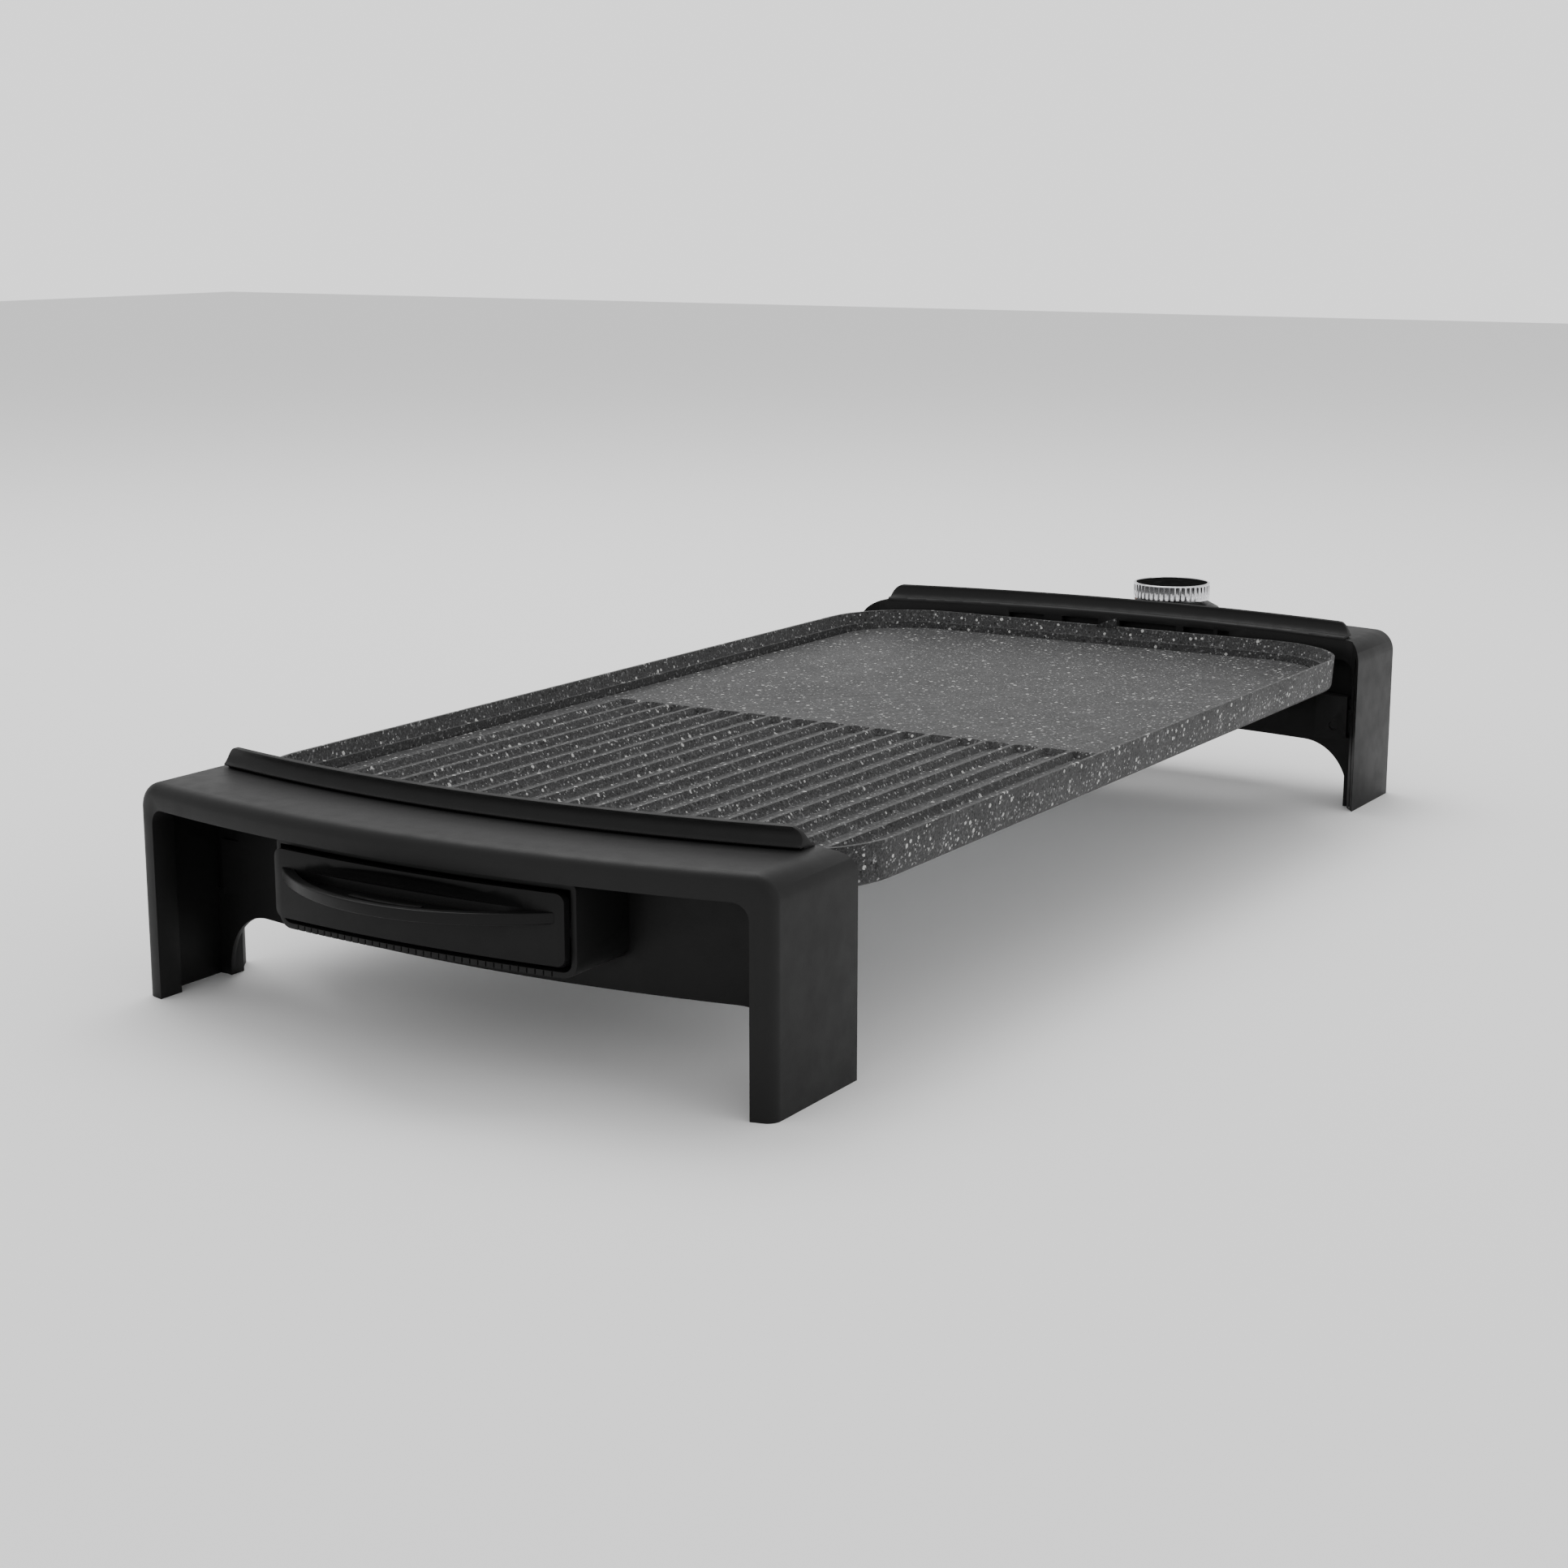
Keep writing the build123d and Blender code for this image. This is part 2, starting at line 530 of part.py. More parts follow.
with BuildPart() as element_terminals:
    for x in ELEMENT_ENDS:
        rod_y(x, ELEMENT_Z, ELEMENT_END_Y, PIN_END_Y, PIN_R)
        block_between(x - 3.2, x + 3.2, PIN_END_Y - 0.5, PIN_END_Y + 9, ELEMENT_Z - 0.4, ELEMENT_Z + 0.4)
save(element_terminals.part, "element_terminals")

with BuildPart() as element_clamps:
    for x in PAD_X:
        for spot_x, y in clamp_spots():
            if abs(spot_x - x) < CLAMP_OFFSET + 1:
                away = 1 if x > spot_x else -1
                block_between(spot_x - away * 4, x + away * 4.5, y - 4, y + 4,
                              ELEMENT_Z - ELEMENT_R - CLAMP_T - 0.05, ELEMENT_Z - ELEMENT_R - 0.05)
                block_between(spot_x - away * 4, spot_x + away * 3.6, y - 4, y + 4,
                              ELEMENT_Z - ELEMENT_R - 0.05, CLAMP_BOSS_Z)
                rod(spot_x, y, 55, 65, 1.7, Mode.SUBTRACT)
save(element_clamps.part, "element_clamps")

with BuildPart() as clamp_screws:
    for x, y in clamp_spots():
        rod(x, y, ELEMENT_Z - ELEMENT_R - CLAMP_T - 1.85, ELEMENT_Z - ELEMENT_R - CLAMP_T - 0.05, 3)
        rod(x, y, ELEMENT_Z - ELEMENT_R - CLAMP_T - 0.05, UNDER_Z - 2, 1.5)
save(clamp_screws.part, "clamp_screws")

with BuildPart() as base_pan:
    block_between(-PAN_X, PAN_X, PAN_Y0, PAN_Y1, PAN_Z, UNDER_Z - 0.1)
    fillet(base_pan.edges().filter_by(Axis.Z), 16)
    fillet(base_pan.faces().sort_by(Axis.Z)[0].edges(), 3)
    offset(amount=-SHEET, openings=base_pan.faces().sort_by(Axis.Z)[-1])
    for x in ELEMENT_ENDS:
        rod_y(x, ELEMENT_Z, PAN_Y1 - 6, PAN_Y1 + 2, 4.4, Mode.SUBTRACT)
    rod_y(BULB_X, CAPILLARY_HIGH_Z, PAN_Y1 - 6, PAN_Y1 + 2, 1.2, Mode.SUBTRACT)
    for x, y in PAN_BOSSES:
        rod(x, y, PAN_Z - 1, PAN_Z + 2, 2.2, Mode.SUBTRACT)
    # Rows of cooling slots in the floor of the pan.
    with BuildSketch(Plane.XY.offset(PAN_Z - 1)):
        with GridLocations(0, 150, 1, 3):
            SlotOverall(44, 4)
    extrude(amount=3, mode=Mode.SUBTRACT)
save(base_pan.part, "base_pan")

with BuildPart() as pan_screws:
    for x, y in PAN_BOSSES:
        rod(x, y, PAN_Z - 2.2, PAN_Z, 4)
        rod(x, y, PAN_Z, UNDER_Z - 1.5, 1.9)
save(pan_screws.part, "pan_screws")

# ---- temperature sensor -------------------------------------------------
BULB_Y0, BULB_Y1 = 30.0, 95.0
CAPILLARY_R = 0.8
with BuildPart() as sensor_bulb:
    rod_y(BULB_X, BULB_Z, BULB_Y0, BULB_Y1, BULB_R)
    fillet(sensor_bulb.edges().sort_by(Axis.Y)[0], 1.5)
save(sensor_bulb.part, "sensor_bulb")

with BuildPart() as sensor_clip:
    for y in (BULB_Y0 + 14, BULB_Y1 - 14):
        block_between(-8, 8, y - 4, y + 4, BULB_Z - BULB_R - 0.9, BULB_Z - BULB_R - 0.1)
        for hand in (-1, 1):
            block_between(hand * 7.2, hand * 8, y - 4, y + 4, BULB_Z - BULB_R - 0.1, UNDER_Z - 0.05)
save(sensor_clip.part, "sensor_clips")

with BuildPart() as capillary_tube:
    with BuildLine():
        FilletPolyline((BULB_X, BULB_Y1, CAPILLARY_HIGH_Z), (BULB_X, 250, CAPILLARY_HIGH_Z),
                       (BULB_X, 264, CAPILLARY_Z), (BULB_X, CAPILLARY_RISE_Y, CAPILLARY_Z),
                       (BULB_X, CAPILLARY_RISE_Y, CAPILLARY_END_Z),
                       (KNOB_X - THERMO_X, CAPILLARY_RISE_Y, CAPILLARY_END_Z), radius=(12, 12, 3, 3))
    with BuildSketch(Plane(origin=(BULB_X, BULB_Y1, CAPILLARY_HIGH_Z), z_dir=(0, 1, 0))):
        Circle(CAPILLARY_R)
    sweep()
save(capillary_tube.part, "capillary_tube")

# ---- drawer housing -----------------------------------------------------
WALL = 2.2
SCREEN_D = WEB_D - SKIN - 4.2
TOOTH_PITCH = 3.55
TEETH = 34


def housing_solid(inset):
    """Outer shape of the drawer housing, or of the way through it."""
    with BuildPart() as solid:
        with BuildSketch(Plane.XZ.offset(-out(FRONT, HOUSING_D + 5))):
            add(housing_outline(inset))
        extrude(amount=HOUSING_D + 5 - HOUSING_BACK_D, dir=(0, 1, 0))
        with BuildSketch():
            add(bowed_band(FRONT, HOUSING_D + 6 * (inset > 0), HOUSING_BACK_D + inset, 80))
        extrude(amount=100, mode=Mode.INTERSECT)
    return solid.part


housing_outer = housing_solid(0)
housing_way = housing_solid(WALL)
with BuildPart() as drawer_housing:
    add(housing_outer)
    add(housing_way, mode=Mode.SUBTRACT)
    # Behind the web only the low, open run for the tray stays, and a wall closes the space above it.
    cut_between(-80, 80, out(FRONT, SCREEN_D), out(FRONT, HOUSING_BACK_D - 5), LOW_TOP_Z, 90)
    block_between(-HOUSING_X + 1, HOUSING_X - 1, out(FRONT, SCREEN_D + WALL), out(FRONT, SCREEN_D),
                  LOW_TOP_Z, HOUSING_Z1 - 1)
    for i in range(TEETH + 1):
        x = (i - TEETH / 2) * TOOTH_PITCH
        face_y = bow(FRONT, HOUSING_D, x)[1]
        cut_between(x - 0.3, x + 0.3, face_y - 1, face_y + 0.9, HOUSING_Z0 - 0.5, HOUSING_Z0 + 2.1)
    # Screw ears against the inner face of the web.
    for hand in (-1, 1):
        block_between(hand * (HOUSING_X - 1), hand * EAR_X, ear_y, ear_y + 2.2, 45.5, 54)
        rod_y(hand * EAR_HOLE_X, EAR_Z, ear_y - 3, ear_y + 5, 1.7, Mode.SUBTRACT)
save(drawer_housing.part, "drawer_housing")

with BuildPart() as housing_screws:
    for hand in (-1, 1):
        rod_y(hand * EAR_HOLE_X, EAR_Z, ear_y + 2.2, ear_y + 4.0, 2.9)
        rod_y(hand * EAR_HOLE_X, EAR_Z, ear_y - EAR_SCREW_DEPTH, ear_y + 2.2, 1.5)
save(housing_screws.part, "housing_screws")

# ---- drawer -------------------------------------------------------------
with BuildPart() as drawer_fascia:
    with BuildSketch(Plane.XZ.offset(-out(FRONT, FASCIA_D + 5))) as outline:
        with Locations((0, FASCIA_Z0)):
            Rectangle(2 * FASCIA_X, FASCIA_Z1 - FASCIA_Z0, align=(Align.CENTER, Align.MIN))
        fillet(outline.vertices(), 3.5)
    extrude(amount=20, dir=(0, 1, 0))
    with BuildSketch():
        add(bowed_band(FRONT, FASCIA_D, FASCIA_D - FASCIA_T, 80))
    extrude(amount=100, mode=Mode.INTERSECT)
    # Hollow sweep above the handle.
    with BuildSketch(Plane.YZ):
        with BuildLine():
            low, high = (out(FRONT, FASCIA_D - 2.3), HANDLE_Z1), (out(FRONT, FASCIA_D + 0.4), FASCIA_Z1 - 1)
            ThreePointArc(low, (out(FRONT, FASCIA_D - 1.7), (HANDLE_Z1 + FASCIA_Z1) / 2 - 1), high)
            Line(high, (out(FRONT, FASCIA_D + 3), HANDLE_Z1))
            Line((out(FRONT, FASCIA_D + 3), HANDLE_Z1), low)
        make_face()
    extrude(amount=HANDLE_X - 5, both=True, mode=Mode.SUBTRACT)
save(drawer_fascia.part, "drawer_fascia")


def handle_plan(root_d, apex_y, half_x):
    """Crescent between the fascia and an arc."""
    with BuildSketch() as crescent:
        with BuildLine():
            ends = ((-half_x, out(FRONT, root_d)), (half_x, out(FRONT, root_d)))
            ThreePointArc(ends[0], (0, apex_y), ends[1])
            Line(*ends)
        make_face()
        add(bowed_band(FRONT, FASCIA_D + 0.05, FASCIA_D - 30, 90), mode=Mode.SUBTRACT)
    return crescent.sketch


with BuildPart() as drawer_handle:
    with BuildSketch(Plane.XY.offset(HANDLE_Z0)):
        add(handle_plan(HANDLE_ROOT_D, -LENGTH / 2, HANDLE_X))
    extrude(amount=HANDLE_Z1 - HANDLE_Z0)
    fillet(drawer_handle.edges().filter_by(GeomType.CIRCLE).sort_by(Axis.Y)[0:2], 0.7)
    with BuildSketch(Plane.XY.offset(HANDLE_Z0 + 1.0)):
        add(handle_plan(HANDLE_ROOT_D, -LENGTH / 2 + 3.2, HANDLE_X - 6))
    extrude(amount=HANDLE_Z1, mode=Mode.SUBTRACT)
    with BuildSketch(Plane.XY.offset(HANDLE_Z0 + 1.0)):
        with BuildLine():
            inner_rib = CenterArc(RIB_CENTRE, RIB_R, 270 - RIB_HALF_TURN, 2 * RIB_HALF_TURN)
            outer_rib = CenterArc(RIB_CENTRE, RIB_R + RIB_T, 270 - RIB_HALF_TURN, 2 * RIB_HALF_TURN)
            Line(inner_rib @ 0, outer_rib @ 0)
            Line(inner_rib @ 1, outer_rib @ 1)
        make_face()
    extrude(amount=RIB_H)
save(drawer_handle.part, "drawer_handle")

with BuildPart() as drip_tray:
    tray_front_y = out(FRONT, FASCIA_D - FASCIA_T - 4.4)
    block_between(-TRAY_X, TRAY_X, tray_front_y, out(FRONT, TRAY_BACK_D), TRAY_Z0, TRAY_Z1)
    fillet(drip_tray.edges().filter_by(Axis.Z), 5)
    fillet(drip_tray.faces().sort_by(Axis.Z)[0].edges(), 2.5)
    offset(amount=-1.4, openings=drip_tray.faces().sort_by(Axis.Z)[-1])
save(drip_tray.part, "drip_tray")

BRACKET_X, BRACKET_HALF = 50.0, 9.0
with BuildPart() as drawer_brackets:
    for hand in (-1, 1):
        x = hand * BRACKET_X
        bracket_front_y = bow(FRONT, FASCIA_D - FASCIA_T, BRACKET_X + BRACKET_HALF)[1]
        block_between(x - BRACKET_HALF, x + BRACKET_HALF, bracket_front_y, tray_front_y, 48, 54)
save(drawer_brackets.part, "drawer_brackets")

GUIDE_FRONT_D = 292.0
GUIDE_Z0, GUIDE_Z1 = 48.6, 54.0
with BuildPart() as drawer_guides:
    for hand in (-1, 1):
        block_between(hand * (TRAY_X + 0.4), hand * (HOUSING_X - WALL), out(FRONT, GUIDE_FRONT_D),
                      out(FRONT, TRAY_BACK_D), GUIDE_Z0, GUIDE_Z1)
save(drawer_guides.part, "drawer_guides")


# ---- control housing ----------------------------------------------------
with BuildPart() as control_housing:
    with BuildSketch(Plane.XY.offset(CONTROL_Z)):
        add(bowed_band(REAR, CONTROL_D1, CONTROL_D0, CONTROL_X))
    extrude(amount=TOP_Z - SKIN - CONTROL_Z)
    fillet(control_housing.faces().sort_by(Axis.Z)[0].edges(), 2.5)
    with BuildSketch(Plane.XY.offset(CONTROL_Z + WALL)):
        add(bowed_band(REAR, CONTROL_D1 - WALL, CONTROL_D0 + WALL, CONTROL_X - WALL))
    extrude(amount=60, mode=Mode.SUBTRACT)
    for x in ELEMENT_ENDS:
        rod_y(x, ELEMENT_Z, out(REAR, CONTROL_D0 - 5), out(REAR, CONTROL_D0 + 5), 4.2, Mode.SUBTRACT)
    rod_y(BULB_X, CAPILLARY_Z, out(REAR, CONTROL_D0 - 5), out(REAR, CONTROL_D0 + 5), 1.4, Mode.SUBTRACT)
    rod_y(CORD_X, CORD_Z, out(REAR, CONTROL_D1 - 8), out(REAR, CONTROL_D1 + 3), 5.6, Mode.SUBTRACT)
    for hand in (-1, 1):
        rod(hand * POST_X, POST_Y, CONTROL_Z - 1, CONTROL_Z + 4, 2.0, Mode.SUBTRACT)
save(control_housing.part, "control_housing")

with BuildPart() as control_screws:
    for hand in (-1, 1):
        rod(hand * POST_X, POST_Y, CONTROL_Z - 2, CONTROL_Z, 3.6)
        rod(hand * POST_X, POST_Y, CONTROL_Z, CONTROL_Z + 20, 1.55)
save(control_screws.part, "control_screws")

with BuildPart() as cord_bush:
    bush_y0, wall_y, bush_y1 = 326.0, 336.7, 340.0
    rod_y(CORD_X, CORD_Z, bush_y0, wall_y, 5.4)
    rod_y(CORD_X, CORD_Z, wall_y, bush_y1, 7.5)
    fillet(cord_bush.edges().sort_by(Axis.Y)[-1], 1.2)
    rod_y(CORD_X, CORD_Z, bush_y0 - 1, bush_y1 + 1, CORD_BORE_R, Mode.SUBTRACT)
save(cord_bush.part, "cord_bush")

with BuildPart() as cord_clamp:
    block_between(CORD_X - 9, CORD_X + 9, 314, 321, CONTROL_Z + WALL + 0.02, CORD_Z - 1)
    rod_y(CORD_X, CORD_Z, 312, 323, CORD_BORE_R + 0.2, Mode.SUBTRACT)
save(cord_clamp.part, "cord_clamp")

BLOCK_X0, BLOCK_X1 = -24.0, 14.0
BLOCK_Y0, BLOCK_Y1 = 313.0, 331.0
BLOCK_TOP_Z = 59.0
with BuildPart() as terminal_block:
    block_between(BLOCK_X0, BLOCK_X1, BLOCK_Y0, BLOCK_Y1, CONTROL_Z + WALL + 0.02, BLOCK_TOP_Z)
    fillet(terminal_block.edges().filter_by(Axis.Z), 2)
    for i in range(3):
        rod(BLOCK_X0 + 8 + i * 11, 318, BLOCK_TOP_Z - 5, BLOCK_TOP_Z + 1, 2.4, Mode.SUBTRACT)
save(terminal_block.part, "terminal_block")

with BuildPart() as terminal_screws:
    for i in range(3):
        rod(BLOCK_X0 + 8 + i * 11, 318, BLOCK_TOP_Z - 5, BLOCK_TOP_Z - 1.5, 2.2)
save(terminal_screws.part, "terminal_screws")

WIRE_R = 1.2
TAB_SIDE_X = 35.0 - 3.2
wire_routes = (
    ((-14, 328, BLOCK_TOP_Z), (-14, 328, 65), (9, 328, 65), (9, 328, 68)),
    ((-20, 327, BLOCK_TOP_Z), (-20, 327, ELEMENT_Z), (-TAB_SIDE_X, 327, ELEMENT_Z)),
    ((TAB_SIDE_X, 327, ELEMENT_Z), (26, 327, ELEMENT_Z), (26, 327, 68)),
)
with BuildPart() as wiring:
    for route in wire_routes:
        start = Vector(*route[0])
        with BuildLine() as path:
            FilletPolyline(*route, radius=2.0)
        with BuildSketch(Plane(origin=start, z_dir=Vector(*route[1]) - start)):
            Circle(WIRE_R)
        sweep(path=path.line)
save(wiring.part, "wiring")

# ---- thermostat ---------------------------------------------------------
THERMO_Z0, THERMO_Z1 = 68.0, 85.4
BRACKET_T = 1.3
BUSHING_TOP_Z = 89.0
with BuildPart() as thermostat_body:
    block_between(KNOB_X - THERMO_X, KNOB_X + THERMO_X, KNOB_Y - THERMO_Y, KNOB_Y + THERMO_Y - 2,
                  THERMO_Z0, THERMO_Z1)
    fillet(thermostat_body.edges().filter_by(Axis.Z), 2)
    rod(KNOB_X, KNOB_Y, THERMO_Z1, BUSHING_TOP_Z, 4.5)
    rod(KNOB_X, KNOB_Y, THERMO_Z0 + 3, BUSHING_TOP_Z + 1, SPINDLE_R + 0.05, Mode.SUBTRACT)
save(thermostat_body.part, "thermostat_body")

with BuildPart() as thermostat_bracket:
    block_between(KNOB_X - 19, KNOB_X + 19, KNOB_Y - 9, KNOB_Y + 9, THERMO_Z1, THERMO_Z1 + BRACKET_T)
    fillet(thermostat_bracket.edges().filter_by(Axis.Z), 2)
    rod(KNOB_X, KNOB_Y, THERMO_Z1 - 1, THERMO_Z1 + 3, 4.6, Mode.SUBTRACT)
    for hand in (-1, 1):
        rod(KNOB_X + hand * THERMO_SCREW_X, KNOB_Y, THERMO_Z1 - 1, THERMO_Z1 + 3, 1.5, Mode.SUBTRACT)
save(thermostat_bracket.part, "thermostat_bracket")

with BuildPart() as thermostat_screws:
    for hand in (-1, 1):
        rod(KNOB_X + hand * THERMO_SCREW_X, KNOB_Y, TOP_Z, TOP_Z + 1.6, 2.8)
        rod(KNOB_X + hand * THERMO_SCREW_X, KNOB_Y, THERMO_Z1 + 0.1, TOP_Z, 1.4)
save(thermostat_screws.part, "thermostat_screws")

# ---- knob and indicator -------------------------------------------------
BEZEL_R, BEZEL_SKIRT_R = 22.0, 26.5
BEZEL_Z, BEZEL_SKIRT_Z = 94.6, 92.2
FLUTES = 44
FLUTE_FOOT, FLUTE_HEAD = 2.4, 1.0   # plain bands below and above the flutes
CAP_R = 19.8
with BuildPart() as knob_bezel:
    with BuildSketch(Plane.XZ.offset(-KNOB_Y)):
        with BuildLine():
            Polyline((KNOB_X, TOP_Z), (KNOB_X, BEZEL_Z), (KNOB_X + BEZEL_R, BEZEL_Z),
                     (KNOB_X + BEZEL_SKIRT_R, BEZEL_SKIRT_Z), (KNOB_X + BEZEL_SKIRT_R + 1.5, TOP_Z),
                     close=True)
        make_face()
    revolve(axis=Axis((KNOB_X, KNOB_Y, 0), (0, 0, 1)))
    with BuildSketch(Plane.XY.offset(TOP_Z)):
        add(bowed_band(REAR, FACE_D - 0.6, LIP_FOOT_D + 1.0, 100))
        with Locations((KNOB_X, KNOB_Y + 5)):
            Circle(BULGE_R - 5.2)
        with Locations((KNOB_X, KNOB_Y)):
            Circle(BULGE_R - 0.3)
        with Locations((KNOB_X, out(REAR, LIP_FOOT_D) - 29)):
            Rectangle(100, 60, mode=Mode.SUBTRACT)
    extrude(amount=20, mode=Mode.INTERSECT)
    rod(KNOB_X, KNOB_Y, TOP_Z - 1, TOP_Z + 2.4, 18, Mode.SUBTRACT)
    rod(KNOB_X, KNOB_Y, TOP_Z - 1, BEZEL_Z + 1, 5.4, Mode.SUBTRACT)
save(knob_bezel.part, "knob_bezel")

with BuildPart() as thermostat_spindle:
    rod(KNOB_X, KNOB_Y, THERMO_Z0 + 3.2, 102.4, SPINDLE_R)
    cut_between(KNOB_X - 4, KNOB_X + 4, KNOB_Y + SPINDLE_R - 0.8, KNOB_Y + 5, 96.5, 103)
save(thermostat_spindle.part, "thermostat_spindle")

with BuildPart() as knob_ring:
    rod(KNOB_X, KNOB_Y, KNOB_Z0, KNOB_Z1, KNOB_R)
    fillet(knob_ring.edges(), 0.5)
    rod(KNOB_X, KNOB_Y, KNOB_Z0 - 1, KNOB_Z1 + 1, CAP_R + 0.1, Mode.SUBTRACT)
    with BuildSketch(Plane.XY.offset(KNOB_Z0 + FLUTE_FOOT)):
        with Locations((KNOB_X, KNOB_Y)):
            with PolarLocations(KNOB_R + 0.55, FLUTES):
                Circle(1.15)
    extrude(amount=KNOB_Z1 - KNOB_Z0 - FLUTE_FOOT - FLUTE_HEAD, mode=Mode.SUBTRACT)
save(knob_ring.part, "knob_ring")

with BuildPart() as knob_hub:
    rod(KNOB_X, KNOB_Y, KNOB_Z0 + 0.2, KNOB_Z1 - 1.6, CAP_R)
    rod(KNOB_X, KNOB_Y, KNOB_Z0 - 1, KNOB_Z1 - 3, CAP_R - 2, Mode.SUBTRACT)
    rod(KNOB_X, KNOB_Y, KNOB_Z0 + 0.4, KNOB_Z1 - 3, 6)
    rod(KNOB_X, KNOB_Y, KNOB_Z0 - 1, 102.5, SPINDLE_R + 0.02, Mode.SUBTRACT)
    block_between(KNOB_X - 2, KNOB_X + 2, KNOB_Y + SPINDLE_R - 0.75, KNOB_Y + 4, 97.2, 102.5)
save(knob_hub.part, "knob_hub")

with BuildPart() as knob_cap:
    rod(KNOB_X, KNOB_Y, KNOB_Z1 - 1.6, KNOB_Z1 - 0.15, CAP_R)
    fillet(knob_cap.edges().sort_by(Axis.Z)[-1], 0.5)
save(knob_cap.part, "knob_cap")

with BuildPart() as indicator_lens:
    rod(LAMP_X, KNOB_Y, TOP_Z - SKIN - 2.4, TOP_Z + 1.4, 3.4)
    fillet(indicator_lens.edges().sort_by(Axis.Z)[-1], 1.2)
    rod(LAMP_X, KNOB_Y, TOP_Z - SKIN - 1.2, TOP_Z - SKIN - 0.02, 4.6)
save(indicator_lens.part, "indicator_lens")

with BuildPart() as indicator_lamp:
    rod(LAMP_X, KNOB_Y, 70, TOP_Z - SKIN - 2.45, 2.6)
    fillet(indicator_lamp.edges().sort_by(Axis.Z)[0], 1.5)
save(indicator_lamp.part, "indicator_lamp")
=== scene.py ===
import json
import math

import bmesh
import bpy
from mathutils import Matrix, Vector

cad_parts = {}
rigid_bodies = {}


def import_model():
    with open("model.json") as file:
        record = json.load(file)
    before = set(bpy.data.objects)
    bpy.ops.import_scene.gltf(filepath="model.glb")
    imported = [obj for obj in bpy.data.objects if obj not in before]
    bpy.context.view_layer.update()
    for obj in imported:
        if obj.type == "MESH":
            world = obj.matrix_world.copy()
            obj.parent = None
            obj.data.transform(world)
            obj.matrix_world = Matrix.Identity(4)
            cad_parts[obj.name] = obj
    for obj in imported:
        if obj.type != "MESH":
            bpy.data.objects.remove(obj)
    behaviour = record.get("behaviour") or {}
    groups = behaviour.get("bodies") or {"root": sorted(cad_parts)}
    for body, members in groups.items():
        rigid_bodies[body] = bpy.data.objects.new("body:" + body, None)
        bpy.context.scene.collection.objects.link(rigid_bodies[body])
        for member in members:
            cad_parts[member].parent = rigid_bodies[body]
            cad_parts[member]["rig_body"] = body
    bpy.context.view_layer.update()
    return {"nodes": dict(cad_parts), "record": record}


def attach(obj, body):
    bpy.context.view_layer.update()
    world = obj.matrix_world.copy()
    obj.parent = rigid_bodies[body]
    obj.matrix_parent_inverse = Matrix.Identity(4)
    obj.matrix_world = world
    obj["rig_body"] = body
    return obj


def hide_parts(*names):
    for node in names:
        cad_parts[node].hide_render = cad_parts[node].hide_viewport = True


# Electric griddle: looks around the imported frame. Metres; +Y runs from the drawer to the knob.

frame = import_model()

MM = 0.001


# ---- node helpers -------------------------------------------------------
class Nodes:
    """A material's node tree, with short calls for the nodes used here."""

    def __init__(self, name, rough, metal=0.0):
        self.material = bpy.data.materials.new(name)
        self.material.use_nodes = True
        self.tree = self.material.node_tree
        self.shader = self.tree.nodes["Principled BSDF"]
        self.shader.inputs["Metallic"].default_value = metal
        self.shader.inputs["Roughness"].default_value = rough
        self.place = self.new("ShaderNodeTexCoord").outputs["Object"]

    def new(self, kind):
        return self.tree.nodes.new(kind)

    def link(self, output, socket):
        self.tree.links.new(output, socket)

    def into(self, output, name):
        self.link(output, self.shader.inputs[name])

    def noise(self, size, detail=3.0, stretch=(1, 1, 1)):
        """Noise whose features are about size metres across, from 0 to 1."""
        mapping = self.new("ShaderNodeMapping")
        mapping.inputs["Scale"].default_value = stretch
        self.link(self.place, mapping.inputs["Vector"])
        texture = self.new("ShaderNodeTexNoise")
        texture.inputs["Scale"].default_value = 1 / size
        texture.inputs["Detail"].default_value = detail
        self.link(mapping.outputs["Vector"], texture.inputs["Vector"])
        return texture.outputs["Fac"]

    def ramp(self, value, low, high, from_value=0.0, to_value=1.0):
        """Value carried from the range low to high onto another range."""
        node = self.new("ShaderNodeMapRange")
        node.inputs["From Min"].default_value = low
        node.inputs["From Max"].default_value = high
        node.inputs["To Min"].default_value = from_value
        node.inputs["To Max"].default_value = to_value
        self.link(value, node.inputs["Value"])
        return node.outputs["Result"]

    def math(self, operation, a, b):
        """Sum, product or comparison of two numbers or sockets."""
        node = self.new("ShaderNodeMath")
        node.operation = operation
        for socket, value in zip(node.inputs, (a, b)):
            if isinstance(value, (int, float)):
                socket.default_value = value
            else:
                self.link(value, socket)
        return node.outputs["Value"]

    def blend(self, factor, a, b):
        """Colour between a and b, each a colour or a socket."""
        node = self.new("ShaderNodeMix")
        node.data_type = "RGBA"
        for name, value in (("Factor", factor), ("A", a), ("B", b)):
            socket = [s for s in node.inputs if s.name == name and s.enabled][0]
            if isinstance(value, tuple):
                socket.default_value = (*value, 1)
            elif isinstance(value, (int, float)):
                socket.default_value = value
            else:
                self.link(value, socket)
        return [s for s in node.outputs if s.enabled][0]

    def bump(self, height, depth):
        """Relief of a given depth in metres."""
        node = self.new("ShaderNodeBump")
        node.inputs["Strength"].default_value = 1.0
        node.inputs["Distance"].default_value = depth
        self.link(height, node.inputs["Height"])
        self.into(node.outputs["Normal"], "Normal")


